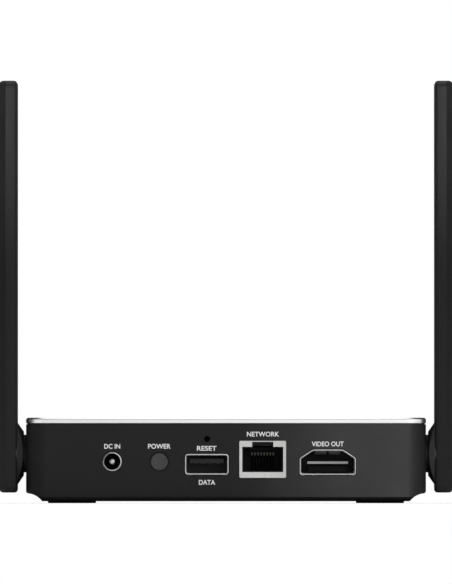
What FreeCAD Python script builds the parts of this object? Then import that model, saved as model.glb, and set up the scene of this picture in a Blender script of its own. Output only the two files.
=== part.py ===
"""Streaming media player: a flat square case with two folding antennas.

Millimetres. +Z is up, the front faces -Y and the sockets are in the +Y wall.
The origin is on the table under the middle of the case.
"""
import FreeCAD, Part
import math
import os

from FreeCAD import Vector

X_AXIS = Vector(1, 0, 0)
Y_AXIS = Vector(0, 1, 0)
Z_AXIS = Vector(0, 0, 1)

# Case
CASE_HALF = 66.5
CASE_CORNER = 6.5
CASE_TOP = 26.6
WALL = 2.2
ROOF = 2.0
LID_THICKNESS = 1.8
LID_EDGE = 1.25
LID_BEVEL = 0.5
SHADOW_GAP = 0.4
RIM_Z = 2.0
COVE_TOP = (66.5, 4.1)
COVE_EDGE = (65.6, 3.2)
COVE_MIDDLE = (63.04, 2.36)
COVE_END = (61.1, 0.63)
LIP_TOP = 4.4
OPENING_INSET = 6.0

# Bottom cover and feet
FOOT_LIFT = 0.63
COVER_RIM_INSET = 0.7
COVER_FLAT_INSET = 1.5
COVER_EDGE_Z = 1.3
COVER_INSET = 6.2
COVER_TOP = 2.9
FOOT_RADIUS = 7.6
FOOT_AT = 51.7
FOOT_SEAT = 0.5
LABEL_SIZE = (70.0, 26.0, 0.2)
LABEL_Y = -28.0
VENT_ROWS = (4.0, 24.0)
VENT_COUNT = 9
VENT_PITCH = 6.0
VENT_SIZE = (2.0, 15.0)

# Case screws
SCREW_X = 56.5
SCREW_Y = 30.0
BOSS_RADIUS = 3.2
PAD_TOP = 4.6
SCREW_HEAD_RADIUS = 2.4
SCREW_HEAD_BOTTOM = 0.9
SCREW_HEAD_TOP = 2.4
SCREW_SHANK_RADIUS = 1.2
SCREW_END = 14.4

# Main board
BOARD_HALF_X = 52.0
BOARD_FRONT = -56.0
BOARD_BACK = 62.5
BOARD_BOTTOM = 6.2
BOARD_TOP = 7.8
BOARD_HOLES = ((-47.0, -45.0), (47.0, -45.0), (-47.0, 25.0), (47.0, 25.0))
BOARD_SCREW_HEAD = (2.2, 1.6)
BOARD_SCREW_SHANK = 1.05

# Socket row in the back wall: x centre, z centre
SOCKET_FACE = CASE_HALF + 0.2
POWER_AT = (37.8, 13.8)
BUTTON_AT = (22.2, 13.8)
RESET_AT = (6.3, 21.3)
USB_AT = (6.4, 12.9)
NETWORK_AT = (-12.2, 14.55)
VIDEO_AT = (-33.8, 13.6)
SOCKET_GAP = 0.2
USB_SIZE = (14.5, 6.9)
USB_DEPTH = 15.5
NETWORK_SIZE = (15.5, 12.3)
NETWORK_OPENING = (13.6, 8.4)
NETWORK_NOTCH = (7.0, 1.0)
NETWORK_DEPTH = 15.8
VIDEO_HALF_WIDTH = 9.35
VIDEO_HALF_TOP = 5.05
VIDEO_HEIGHT = 8.46
VIDEO_SHOULDER = 5.6
VIDEO_DEPTH = 12.7
VIDEO_TONGUE_Z = (13.05, 13.85)
SLEEVE_OUTER = 3.15
SLEEVE_INNER = 2.8
JACK_PIN_RADIUS = 1.0
BUTTON_RADIUS = 2.98
BUTTON_HOLE_RADIUS = 3.25
RESET_HOLE_RADIUS = 1.0

# Antenna: distances along the hinge axis are counted outwards from the inner face
PIVOT_Y = 52.5
PIVOT_Z = 16.5
PADDLE_GAP = 2.9
PADDLE_WIDTH = 22.0
PADDLE_THICKNESS = 6.2
PADDLE_TIP_Z = 140.5
PADDLE_CORNER = 2.6
PADDLE_DROP = 13.0
PADDLE_BEVEL = (2.3, 2.4)
PADDLE_FLOOR = 1.4
PADDLE_WALL = 1.3
PADDLE_EDGE = 0.8
TIP_ROUND = 1.5
FOOT_ROUND = 0.9
OUTER_ROUND = 1.7
HUB_RADIUS = 10.5
HUB_TIP_RADIUS = 7.6
HUB_HEIGHT = 2.1
NECK_RADIUS = 6.3
BARREL_RADIUS = 5.0
BARREL_BORE = 2.0
BARREL_FIT = 0.05
ELEMENT_SIZE = (14.0, 100.0, 1.0)
ELEMENT_LOW_Z = 27.0
COAX_RADIUS = 0.6


def box(x, y, z):
    """A block between the two values of each of x, y and z."""
    return Part.makeBox(x[1] - x[0], y[1] - y[0], z[1] - z[0], Vector(x[0], y[0], z[0]))


def rod(radius, start, direction, length):
    return Part.makeCylinder(radius, length, Vector(*start), direction)


def rounded_wire(centre, u, v, half_u, half_v, radius):
    """A rounded rectangle about centre in the plane of u and v."""
    edges = []
    last = None
    first = None
    for su, sv in ((1, -1), (1, 1), (-1, 1), (-1, -1)):
        middle = centre + u * (su * (half_u - radius)) + v * (sv * (half_v - radius))
        ends = [middle + u * (su * radius), middle + v * (sv * radius)]
        if su * sv > 0:
            start, end = ends
        else:
            end, start = ends
        bulge = middle + (u * su + v * sv) * (radius * math.sqrt(0.5))
        if last is None:
            first = start
        else:
            edges.append(Part.makeLine(last, start))
        edges.append(Part.Arc(start, bulge, end).toShape())
        last = end
    edges.append(Part.makeLine(last, first))
    return Part.Wire(edges)


def plan_wire(inset, z):
    """The case's plan outline, moved in by inset, at height z."""
    half = CASE_HALF - inset
    radius = max(CASE_CORNER - inset, 1.0)
    return rounded_wire(Vector(0, 0, z), X_AXIS, Y_AXIS, half, half, radius)


def plan_block(inset, z0, z1):
    return Part.Face(plan_wire(inset, z0)).extrude(Vector(0, 0, z1 - z0))


def plan_bevel(inset0, z0, inset1, z1):
    return Part.makeLoft([plan_wire(inset0, z0), plan_wire(inset1, z1)], True, True)


def wall_block(at, size, radius, y0, y1):
    """A rounded rectangle in a wall's plane, run from y0 to y1."""
    centre = Vector(at[0], y0, at[1])
    wire = rounded_wire(centre, X_AXIS, Z_AXIS, size[0] / 2, size[1] / 2, radius)
    return Part.Face(wire).extrude(Vector(0, y1 - y0, 0))


def video_block(grow, y0, y1):
    """The video socket's outline, narrow side up, moved out by grow."""
    x, z = VIDEO_AT
    low = z - VIDEO_HEIGHT / 2 - grow
    high = z + VIDEO_HEIGHT / 2 + grow
    shoulder = z - VIDEO_HEIGHT / 2 + VIDEO_SHOULDER + grow * 0.3
    wide = VIDEO_HALF_WIDTH + grow
    narrow = VIDEO_HALF_TOP + grow * 0.5
    outline = ((-wide, low), (wide, low), (wide, shoulder), (narrow, high), (-narrow, high), (-wide, shoulder))
    points = [Vector(x + dx, y0, dz) for dx, dz in outline]
    solid = Part.Face(Part.makePolygon(points + points[:1])).extrude(Vector(0, y1 - y0, 0))
    along_y = [e for e in solid.Edges if abs(e.Vertexes[0].Point.y - e.Vertexes[1].Point.y) > 1]
    return solid.makeFillet(0.6, along_y)


def tube(points, radius, bend):
    """A round lead along straight runs joined by tangent arcs of the bend radius."""
    edges = []
    last = points[0]
    for before, corner, after in zip(points, points[1:], points[2:]):
        back = (before - corner).normalize()
        ahead = (after - corner).normalize()
        half_turn = (math.pi - back.getAngle(ahead)) / 2
        step = bend * math.tan(half_turn)
        start = corner + back * step
        end = corner + ahead * step
        inward = (back + ahead).normalize()
        middle = corner + inward * (bend / math.cos(half_turn) - bend)
        edges.append(Part.makeLine(last, start))
        edges.append(Part.Arc(start, middle, end).toShape())
        last = end
    edges.append(Part.makeLine(last, points[-1]))
    path = Part.Wire(edges)
    heading = (points[1] - points[0]).normalize()
    section = Part.Wire(Part.makeCircle(radius, points[0], heading))
    return path.makePipeShell([section], True, False)


def mirror_x(shape):
    return shape.mirror(Vector(0, 0, 0), X_AXIS)


def four_corners(x, y):
    return [(sx * x, sy * y) for sx in (-1, 1) for sy in (-1, 1)]


# Case pieces

def side_coves():
    """What a rounded edge and a cove take off the case along the foot of both side walls."""
    top = Vector(COVE_TOP[0], -70, COVE_TOP[1])
    edge = Vector(COVE_EDGE[0], -70, COVE_EDGE[1])
    end = Vector(COVE_END[0], -70, COVE_END[1])
    reach = math.sqrt(0.5) * (COVE_TOP[0] - COVE_EDGE[0])
    turn = Vector(COVE_EDGE[0] + reach, -70, COVE_TOP[1] - reach)
    middle = Vector(COVE_MIDDLE[0], -70, COVE_MIDDLE[1])
    below = Vector(COVE_END[0] - 1.1, -70, -1)
    edges = [Part.Arc(top, turn, edge).toShape(), Part.Arc(edge, middle, end).toShape()]
    edges.append(Part.makeLine(end, below))
    edges.append(Part.makeLine(below, Vector(70, -70, -1)))
    edges.append(Part.makeLine(Vector(70, -70, -1), Vector(70, -70, COVE_TOP[1])))
    edges.append(Part.makeLine(Vector(70, -70, COVE_TOP[1]), top))
    cove = Part.Face(Part.Wire(edges)).extrude(Vector(0, 140, 0))
    return [cove, mirror_x(cove)]


def housing():
    """The case's walls and roof, open below, with the screw bosses."""
    body = plan_block(0, RIM_Z, CASE_TOP - SHADOW_GAP)
    body = body.fuse(plan_block(SHADOW_GAP, CASE_TOP - SHADOW_GAP, CASE_TOP))
    body = body.cut(side_coves())
    body = body.cut(plan_block(WALL, LIP_TOP, CASE_TOP - ROOF))
    body = body.cut(plan_block(OPENING_INSET, 0, LIP_TOP + 0.1))
    for x, y in four_corners(SCREW_X, SCREW_Y):
        body = body.fuse(rod(BOSS_RADIUS, (x, y, PAD_TOP), Z_AXIS, CASE_TOP - ROOF - PAD_TOP + 0.1))
        body = body.cut(rod(SCREW_SHANK_RADIUS + 0.05, (x, y, PAD_TOP - 1), Z_AXIS, 13))
    for x, y in four_corners(45, 45):
        body = body.cut(rod(1.6, (x, y, CASE_TOP - 1.5), Z_AXIS, 2))
    body = body.cut(socket_holes())
    body = body.cut(wall_block((0, 13.5), (34.4, 9.4), 2.2, -CASE_HALF - 1, -CASE_HALF + WALL + 1))
    for side in (-1, 1):
        start = (side * (CASE_HALF - WALL - 1), PIVOT_Y, PIVOT_Z)
        body = body.cut(rod(BARREL_RADIUS + BARREL_FIT, start, X_AXIS * side, WALL + 2))
    return body


def socket_holes():
    """Everything that is cut through the back wall."""
    y0 = CASE_HALF - WALL - 0.5
    y1 = CASE_HALF + 0.5
    depth = y1 - y0
    usb = wall_block(USB_AT, (USB_SIZE[0] + 2 * SOCKET_GAP, USB_SIZE[1] + 2 * SOCKET_GAP), 1.2, y0, y1)
    wide = (NETWORK_SIZE[0] + 2 * SOCKET_GAP, NETWORK_SIZE[1] + 2 * SOCKET_GAP)
    network = wall_block(NETWORK_AT, wide, 0.5, y0, y1)
    video = video_block(SOCKET_GAP, y0, y1)
    jack = rod(SLEEVE_OUTER + 0.15, (POWER_AT[0], y0, POWER_AT[1]), Y_AXIS, depth)
    button = rod(BUTTON_HOLE_RADIUS, (BUTTON_AT[0], y0, BUTTON_AT[1]), Y_AXIS, depth)
    reset = rod(RESET_HOLE_RADIUS, (RESET_AT[0], y0, RESET_AT[1]), Y_AXIS, depth)
    return usb.fuse([network, video, jack, button, reset])


def top_plate():
    """The plate on the roof: an upright edge, then a small bevel to the flat top."""
    edge_z = CASE_TOP + LID_EDGE
    body = plan_block(0, CASE_TOP, edge_z)
    body = body.fuse(plan_bevel(0, edge_z, LID_BEVEL, CASE_TOP + LID_THICKNESS))
    for x, y in four_corners(45, 45):
        body = body.fuse(rod(1.5, (x, y, CASE_TOP - 1.4), Z_AXIS, 1.5))
    return body.removeSplitter()


def bottom_cover():
    """The plate that closes the case, with vents, standoffs, foot seats and a label seat."""
    body = plan_bevel(COVER_FLAT_INSET, FOOT_LIFT, COVER_RIM_INSET, COVER_EDGE_Z)
    body = body.fuse(plan_block(COVER_RIM_INSET, COVER_EDGE_Z, RIM_Z))
    body = body.cut(side_coves())
    body = body.fuse(plan_block(COVER_INSET, RIM_Z - 0.1, COVER_TOP))
    for x, y in BOARD_HOLES:
        body = body.fuse(rod(3.0, (x, y, COVER_TOP - 0.1), Z_AXIS, BOARD_BOTTOM - COVER_TOP + 0.1))
        body = body.cut(rod(BOARD_SCREW_SHANK + 0.05, (x, y, 3.3), Z_AXIS, 4))
    for x, y in four_corners(SCREW_X, SCREW_Y):
        body = body.fuse(rod(3.8, (x, y, COVER_TOP - 0.1), Z_AXIS, PAD_TOP - COVER_TOP + 0.1))
        body = body.cut(rod(SCREW_HEAD_RADIUS + 0.2, (x, y, 0), Z_AXIS, SCREW_HEAD_TOP))
        body = body.cut(rod(SCREW_SHANK_RADIUS + 0.2, (x, y, 0), Z_AXIS, 6))
    for x, y in four_corners(FOOT_AT, FOOT_AT):
        body = body.cut(rod(FOOT_RADIUS + 0.1, (x, y, 0), Z_AXIS, FOOT_LIFT + FOOT_SEAT))
    half_x = LABEL_SIZE[0] / 2 + 0.2
    half_y = LABEL_SIZE[1] / 2 + 0.2
    seat_top = FOOT_LIFT + LABEL_SIZE[2]
    body = body.cut(box((-half_x, half_x), (LABEL_Y - half_y, LABEL_Y + half_y), (0, seat_top)))
    for row in VENT_ROWS:
        for i in range(VENT_COUNT):
            x = (i - (VENT_COUNT - 1) / 2) * VENT_PITCH
            wire = rounded_wire(Vector(x, row, 0), X_AXIS, Y_AXIS, VENT_SIZE[0] / 2, VENT_SIZE[1] / 2, 0.95)
            body = body.cut(Part.Face(wire).extrude(Vector(0, 0, COVER_TOP + 1)))
    return body.removeSplitter()


def rubber_feet():
    feet = []
    for x, y in four_corners(FOOT_AT, FOOT_AT):
        foot = rod(FOOT_RADIUS, (x, y, 0), Z_AXIS, FOOT_LIFT + FOOT_SEAT)
        lower = [e for e in foot.Edges if e.BoundBox.ZMax < 0.01]
        feet.append(foot.makeFillet(0.25, lower))
    return Part.makeCompound(feet)


def case_screws():
    """Four screws with their heads down, each with a cross recess."""
    screws = []
    for x, y in four_corners(SCREW_X, SCREW_Y):
        head = rod(SCREW_HEAD_RADIUS, (x, y, SCREW_HEAD_BOTTOM), Z_AXIS, SCREW_HEAD_TOP - SCREW_HEAD_BOTTOM)
        shank = rod(SCREW_SHANK_RADIUS, (x, y, SCREW_HEAD_TOP), Z_AXIS, SCREW_END - SCREW_HEAD_TOP)
        slot_z = (SCREW_HEAD_BOTTOM - 0.1, SCREW_HEAD_BOTTOM + 0.8)
        cross = box((x - 1.3, x + 1.3), (y - 0.3, y + 0.3), slot_z)
        cross = cross.fuse(box((x - 0.3, x + 0.3), (y - 1.3, y + 1.3), slot_z))
        screws.append(head.fuse(shank).cut(cross))
    return Part.makeCompound(screws)


def rating_label():
    wire = rounded_wire(Vector(0, LABEL_Y, FOOT_LIFT), X_AXIS, Y_AXIS, LABEL_SIZE[0] / 2, LABEL_SIZE[1] / 2, 1.5)
    return Part.Face(wire).extrude(Vector(0, 0, LABEL_SIZE[2]))


def front_window():
    """The dark window in the front wall, held by a flange behind the wall."""
    pane = wall_block((0, 13.5), (34.0, 9.0), 2.0, -CASE_HALF + 0.1, -CASE_HALF + WALL + 0.1)
    flange = wall_block((0, 13.5), (37.0, 12.0), 2.0, -CASE_HALF + WALL + 0.05, -CASE_HALF + WALL + 1.05)
    return pane.fuse(flange).removeSplitter()


# Pieces on the main board

def main_board():
    y_mid = (BOARD_FRONT + BOARD_BACK) / 2
    half_y = (BOARD_BACK - BOARD_FRONT) / 2
    wire = rounded_wire(Vector(0, y_mid, BOARD_BOTTOM), X_AXIS, Y_AXIS, BOARD_HALF_X, half_y, 2.0)
    board = Part.Face(wire).extrude(Vector(0, 0, BOARD_TOP - BOARD_BOTTOM))
    for x, y in BOARD_HOLES:
        board = board.cut(rod(1.3, (x, y, BOARD_BOTTOM - 1), Z_AXIS, 4))
    return board


def board_screws():
    radius, height = BOARD_SCREW_HEAD
    screws = []
    for x, y in BOARD_HOLES:
        head = rod(radius, (x, y, BOARD_TOP), Z_AXIS, height)
        shank = rod(BOARD_SCREW_SHANK, (x, y, 3.6), Z_AXIS, BOARD_TOP - 3.6)
        slot_z = (BOARD_TOP + height - 0.8, BOARD_TOP + height + 0.1)
        cross = box((x - 1.2, x + 1.2), (y - 0.25, y + 0.25), slot_z)
        cross = cross.fuse(box((x - 0.25, x + 0.25), (y - 1.2, y + 1.2), slot_z))
        screws.append(head.fuse(shank).cut(cross))
    return Part.makeCompound(screws)


def on_board(x, y, width, depth, height, base=BOARD_TOP):
    """A block that stands on the board, or on whatever is at base."""
    return box((x - width / 2, x + width / 2), (y - depth / 2, y + depth / 2), (base, base + height))


def heat_sink(x, y, base):
    """A plate with upright fins."""
    sink = on_board(x, y, 28, 28, 2.0, base)
    for i in range(8):
        fin_x = x - 13.4 + i * 26.8 / 7
        sink = sink.fuse(on_board(fin_x, y, 1.2, 28, 6.0, base + 2.0))
    return sink.removeSplitter()


def chip_row(places, width, depth, height):
    return Part.makeCompound([on_board(x, y, width, depth, height) for x, y in places])


def inductors(places):
    """Square power inductors with their round wound core in a square base."""
    pieces = []
    for x, y in places:
        body = on_board(x, y, 7.0, 7.0, 1.0)
        pieces.append(body.fuse(rod(3.3, (x, y, BOARD_TOP + 1.0), Z_AXIS, 3.0)).removeSplitter())
    return Part.makeCompound(pieces)


def capacitors(places):
    """Upright electrolytic cans with a rolled groove above the base."""
    cans = []
    for x, y in places:
        can = rod(3.15, (x, y, BOARD_TOP), Z_AXIS, 7.7)
        groove = rod(4.0, (x, y, BOARD_TOP + 1.2), Z_AXIS, 0.6).cut(rod(2.9, (x, y, BOARD_TOP), Z_AXIS, 3))
        cans.append(can.cut(groove))
    return Part.makeCompound(cans)


def shield_can(x, y, width, depth, height, base):
    """A thin metal lid, open below."""
    outer = on_board(x, y, width, depth, height, base)
    return outer.cut(on_board(x, y, width - 0.5, depth - 0.5, height - 0.25, base - 0.01))


def antenna_connectors():
    """Two round plugs on the wireless module, one for each lead."""
    sockets = [rod(1.4, (side * 12.0, 22.0, BOARD_TOP + 1.0), Z_AXIS, 1.8) for side in (-1, 1)]
    return Part.makeCompound(sockets)


def ir_receiver():
    """A block with a round lens that looks out of the front window."""
    block = on_board(-10.0, -53.0, 6.0, 4.0, 7.0)
    lens = Part.makeSphere(2.4, Vector(-10.0, -54.6, BOARD_TOP + 4.2))
    return block.fuse(lens)


def lead_in_case():
    """The right-hand antenna lead, from the hinge barrel to the wireless module."""
    route = [
        Vector(62.2, PIVOT_Y, PIVOT_Z),
        Vector(55.0, PIVOT_Y, PIVOT_Z),
        Vector(50.0, 44.0, 18.0),
        Vector(36.0, 26.0, 17.5),
        Vector(23.0, 22.0, BOARD_TOP + 2.3),
        Vector(13.5, 22.0, BOARD_TOP + 2.1),
    ]
    return tube(route, COAX_RADIUS, 4.0)


# Sockets and buttons

def power_jack_body():
    x, z = POWER_AT
    body = box((x - 4.5, x + 4.5), (50.5, CASE_HALF - WALL - 0.1), (BOARD_TOP, z + 4.5))
    return body.cut(rod(SLEEVE_OUTER + 0.05, (x, 52.0, z), Y_AXIS, 20))


def power_jack_sleeve():
    x, z = POWER_AT
    tube_length = SOCKET_FACE - 52.0
    sleeve = rod(SLEEVE_OUTER, (x, 52.0, z), Y_AXIS, tube_length)
    return sleeve.cut(rod(SLEEVE_INNER, (x, 51.0, z), Y_AXIS, tube_length + 2))


def power_jack_pin():
    x, z = POWER_AT
    pin = rod(JACK_PIN_RADIUS, (x, 52.0, z), Y_AXIS, 13.5)
    tip = [e for e in pin.Edges if e.BoundBox.YMin > 65]
    return pin.makeFillet(0.6, tip)


def power_button():
    """The cap, with a dished face and a flange that holds it behind the wall."""
    x, z = BUTTON_AT
    cap = rod(BUTTON_RADIUS, (x, 60.8, z), Y_AXIS, SOCKET_FACE - 60.8)
    face = [e for e in cap.Edges if e.BoundBox.YMin > SOCKET_FACE - 0.01]
    cap = cap.makeFillet(0.35, face)
    return cap.fuse(rod(3.8, (x, 62.9, z), Y_AXIS, 1.0)).removeSplitter()


def power_switch_slider():
    x, z = BUTTON_AT
    return box((x - 1.5, x + 1.5), (52.2, 60.8), (z - 1.5, z + 1.5))


def power_switch_body():
    x, z = BUTTON_AT
    body = box((x - 4.25, x + 4.25), (44.0, 54.0), (BOARD_TOP, z + 3.6))
    return body.cut(box((x - 1.7, x + 1.7), (50.0, 55.0), (z - 1.7, z + 1.7)))


def power_button_spring():
    """The coil between the switch and the cap."""
    x, z = BUTTON_AT
    wire_radius = 0.18
    coil_radius = 2.65
    height = 6.2
    helix = Part.makeHelix(height / 5, height, coil_radius)
    section = Part.Wire(Part.makeCircle(wire_radius, Vector(coil_radius, 0, 0), Y_AXIS))
    coil = Part.Wire(helix).makePipeShell([section], True, True)
    coil.rotate(Vector(0, 0, 0), X_AXIS, -90)
    coil.translate(Vector(x, 54.3, z))
    return coil


def reset_board():
    """A small riser that carries the reset switch at the height of its hole."""
    x = RESET_AT[0]
    return box((x - 5.0, x + 5.0), (49.4, 50.6), (BOARD_TOP, 24.2))


def reset_switch_body():
    x, z = RESET_AT
    body = box((x - 3.0, x + 3.0), (50.6, 54.3), (z - 2.8, z + 2.8))
    return body.cut(rod(1.6, (x, 53.2, z), Y_AXIS, 2))


def reset_plunger():
    x, z = RESET_AT
    return rod(1.5, (x, 53.7, z), Y_AXIS, 10.2)


def board_legs(at, width, low):
    """Four tabs from a socket's shell down to the board."""
    legs = []
    for x in (at[0] - width / 2 + 1.0, at[0] + width / 2 - 1.0):
        for y in (55.5, 60.5):
            legs.append(box((x - 0.75, x + 0.75), (y - 0.75, y + 0.75), (BOARD_TOP, low + 0.2)))
    return legs


def usb_shell():
    back = SOCKET_FACE - USB_DEPTH
    shell = wall_block(USB_AT, USB_SIZE, 1.0, back, SOCKET_FACE)
    hollow = wall_block(USB_AT, (USB_SIZE[0] - 1.0, USB_SIZE[1] - 1.0), 0.6, back + 0.4, SOCKET_FACE + 1)
    return shell.fuse(board_legs(USB_AT, USB_SIZE[0], USB_AT[1] - USB_SIZE[1] / 2)).cut(hollow).removeSplitter()


def usb_tongue():
    """The plastic block at the back of the shell, with the tongue in the upper half."""
    x, z = USB_AT
    back = SOCKET_FACE - USB_DEPTH + 0.45
    block = wall_block(USB_AT, (USB_SIZE[0] - 1.1, USB_SIZE[1] - 1.1), 0.5, back, back + 3.5)
    blade = box((x - 5.6, x + 5.6), (back, SOCKET_FACE - 1.2), (z + 0.4, z + 1.8))
    return block.fuse(blade).removeSplitter()


def usb_contacts():
    x, z = USB_AT
    strips = []
    for i in range(4):
        strip_x = x + (i - 1.5) * 2.4
        strips.append(box((strip_x - 0.5, strip_x + 0.5), (56.0, SOCKET_FACE - 3.4), (z + 0.26, z + 0.38)))
    return Part.makeCompound(strips)


def network_opening(y0, y1, shrink):
    """The plug's way in, with the latch notch above it."""
    x, z = NETWORK_AT
    low = z - NETWORK_SIZE[1] / 2 + 1.9 + shrink
    half = NETWORK_OPENING[0] / 2 - shrink
    high = z - NETWORK_SIZE[1] / 2 + 1.9 + NETWORK_OPENING[1] - shrink
    notch = NETWORK_NOTCH[0] / 2 - shrink
    return box((x - half, x + half), (y0, y1), (low, high)).fuse(
        box((x - notch, x + notch), (y0, y1), (high - 0.1, high + NETWORK_NOTCH[1])))


def network_shell():
    x, z = NETWORK_AT
    back = SOCKET_FACE - NETWORK_DEPTH
    shell = wall_block(NETWORK_AT, NETWORK_SIZE, 0.4, back, SOCKET_FACE)
    half = (NETWORK_SIZE[0] / 2 - 0.35, NETWORK_SIZE[1] / 2 - 0.35)
    inside = box((x - half[0], x + half[0]), (back - 1, SOCKET_FACE - 0.4), (z - half[1], z + half[1]))
    notch = NETWORK_NOTCH[0] / 2
    gap = box((x - notch, x + notch), (SOCKET_FACE - 1.2, SOCKET_FACE + 1), (z + half[1] - 1, z + half[1] + 1))
    return shell.cut(inside).cut(network_opening(SOCKET_FACE - 1, SOCKET_FACE + 1, 0)).cut(gap)


def network_insert():
    """The plastic body, with the comb that the contact wires end under."""
    x, z = NETWORK_AT
    back = SOCKET_FACE - NETWORK_DEPTH + 0.2
    half = (NETWORK_SIZE[0] / 2 - 0.4, NETWORK_SIZE[1] / 2 - 0.4)
    block = box((x - half[0], x + half[0]), (back, SOCKET_FACE - 0.45), (z - half[1], z + half[1]))
    block = block.cut(network_opening(back + 1.8, SOCKET_FACE + 1, 0.4))
    comb = box((x - 4.6, x + 4.6), (back + 1.0, 57.5), (z + 3.0, z + 4.0))
    return block.fuse(comb).removeSplitter()


def network_contacts():
    """Eight spring wires that slope from the front of the floor up to the comb."""
    x = NETWORK_AT[0]
    floor = NETWORK_AT[1] - NETWORK_SIZE[1] / 2 + 2.3
    wires = []
    for i in range(8):
        start = Vector(x + (i - 3.5) * 1.02, 61.5, floor + 0.35)
        end = Vector(start.x, 54.6, floor + 6.0)
        run = end - start
        tip = box((start.x - 0.2, start.x + 0.2), (54.5, 57.0), (floor + 5.2, floor + 6.2))
        wires.append(Part.makeCylinder(0.22, run.Length, start, run).fuse(tip))
    return Part.makeCompound(wires)


def video_shell():
    back = SOCKET_FACE - VIDEO_DEPTH
    shell = video_block(0, back, SOCKET_FACE)
    legs = board_legs(VIDEO_AT, 2 * VIDEO_HALF_WIDTH, VIDEO_AT[1] - VIDEO_HEIGHT / 2)
    return shell.fuse(legs).cut(video_block(-0.5, back + 0.4, SOCKET_FACE + 1)).removeSplitter()


def video_insert():
    """The block at the back of the shell and the step below the tongue."""
    x, z = VIDEO_AT
    back = SOCKET_FACE - VIDEO_DEPTH + 0.45
    step = box((x - 6.4, x + 6.4), (back, 61.5), (z - 3.5, z - 1.3))
    block = video_block(-0.55, back, back + 2.5).fuse(step)
    low, high = VIDEO_TONGUE_Z
    return block.cut(box((x - 6.8, x + 6.8), (back + 1.0, 70.0), (low, high))).removeSplitter()


def video_tongue():
    """The thin plate that carries the contacts."""
    x, z = VIDEO_AT
    low, high = VIDEO_TONGUE_Z
    return box((x - 6.75, x + 6.75), (SOCKET_FACE - VIDEO_DEPTH + 1.5, SOCKET_FACE - 1.6), (low + 0.02, high - 0.02))


def video_contacts():
    """Ten strips on the tongue and nine under it."""
    x = VIDEO_AT[0]
    low, high = VIDEO_TONGUE_Z
    strips = []
    for count, z in ((10, high + 0.05), (9, low - 0.05)):
        for i in range(count):
            strip_x = x + (i - (count - 1) / 2) * 1.3
            strips.append(box((strip_x - 0.25, strip_x + 0.25), (57.0, SOCKET_FACE - 3.2), (z - 0.05, z + 0.05)))
    return Part.makeCompound(strips)


# Antenna pieces, made on the +X side and mirrored for the other

def out_from_paddle(distance):
    """The x of a plane that far outwards from the paddle's inner face."""
    return CASE_HALF + PADDLE_GAP + distance


def paddle_wire(distance, inset):
    """The paddle's side outline, a long rounded rectangle."""
    low = PIVOT_Z - PADDLE_DROP
    centre = Vector(out_from_paddle(distance), PIVOT_Y, (low + PADDLE_TIP_Z) / 2)
    half_width = PADDLE_WIDTH / 2 - inset
    half_length = (PADDLE_TIP_Z - low) / 2 - inset
    radius = max(PADDLE_CORNER - inset, 0.8)
    return rounded_wire(centre, Y_AXIS, Z_AXIS, half_width, half_length, radius)


def paddle_slab(start, end, inset):
    return Part.Face(paddle_wire(start, inset)).extrude(Vector(end - start, 0, 0))


def hinge_rod(radius, start, end):
    """A rod on the hinge axis between two distances from the paddle's inner face."""
    return rod(radius, (out_from_paddle(start), PIVOT_Y, PIVOT_Z), X_AXIS, end - start)


def antenna_inner_shell():
    """The half that faces the case, with the cone hub and its neck."""
    split = PADDLE_THICKNESS - PADDLE_BEVEL[0]
    body = paddle_slab(PADDLE_EDGE, split, 0)
    body = body.fuse(Part.makeLoft([paddle_wire(0, PADDLE_EDGE), paddle_wire(PADDLE_EDGE, 0)], True, True))
    body = body.cut([end_round(0, 1, TIP_ROUND), end_round(0, -1, FOOT_ROUND)])
    body = body.cut(paddle_slab(PADDLE_FLOOR, split + 1, PADDLE_WALL))
    hub = Part.makeCone(HUB_TIP_RADIUS, HUB_RADIUS, HUB_HEIGHT,
                        Vector(out_from_paddle(-HUB_HEIGHT), PIVOT_Y, PIVOT_Z), X_AXIS)
    neck = hinge_rod(NECK_RADIUS, 0.1 - PADDLE_GAP, 0.1)
    body = body.fuse([hub, neck])
    body = body.cut(hinge_rod(BARREL_RADIUS + 0.02, -PADDLE_GAP, PADDLE_FLOOR + 0.5))
    for z in (ELEMENT_LOW_Z + 10, ELEMENT_LOW_Z + 90):
        peg = rod(1.0, (out_from_paddle(PADDLE_FLOOR - 0.1), PIVOT_Y, z), X_AXIS, ELEMENT_SIZE[2] + 0.9)
        body = body.fuse(peg)
    return body.removeSplitter()


def end_round(distance, end, radius):
    """What is taken off one face's edge at the tip (end 1) or the foot (end -1), to leave it rounded."""
    x = out_from_paddle(distance)
    inwards = 1 if distance == 0 else -1
    z = PADDLE_TIP_Z if end > 0 else PIVOT_Z - PADDLE_DROP
    y = (PIVOT_Y - PADDLE_WIDTH, PIVOT_Y + PADDLE_WIDTH)
    corner = box(sorted((x - inwards, x + inwards * radius)), y, sorted((z - end * radius, z + end)))
    centre = (x + inwards * radius, y[0] - 1, z - end * radius)
    return corner.cut(rod(radius, centre, Y_AXIS, 2 * PADDLE_WIDTH + 2))


def long_bevel(side):
    """What the bevel takes off the outside face along one long edge."""
    depth, inset = PADDLE_BEVEL
    x = out_from_paddle(PADDLE_THICKNESS)
    y = PIVOT_Y + side * PADDLE_WIDTH / 2
    points = [Vector(x, y - side * inset, 0), Vector(x - depth, y, 0), Vector(x + 1, y, 0)]
    points.append(Vector(x + 1, y - side * inset, 0))
    return Part.Face(Part.makePolygon(points + points[:1])).extrude(Vector(0, 0, PADDLE_TIP_Z + 1))


def antenna_outer_cover():
    """The outside half, with a bevel along both long edges and rounded ends."""
    split = PADDLE_THICKNESS - PADDLE_BEVEL[0]
    body = paddle_slab(split, PADDLE_THICKNESS, 0)
    body = body.cut([long_bevel(1), long_bevel(-1)])
    body = body.cut([end_round(PADDLE_THICKNESS, end, OUTER_ROUND) for end in (1, -1)])
    return body.cut(paddle_slab(split - 0.1, split + 0.8, PADDLE_WALL + 0.6))


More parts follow.
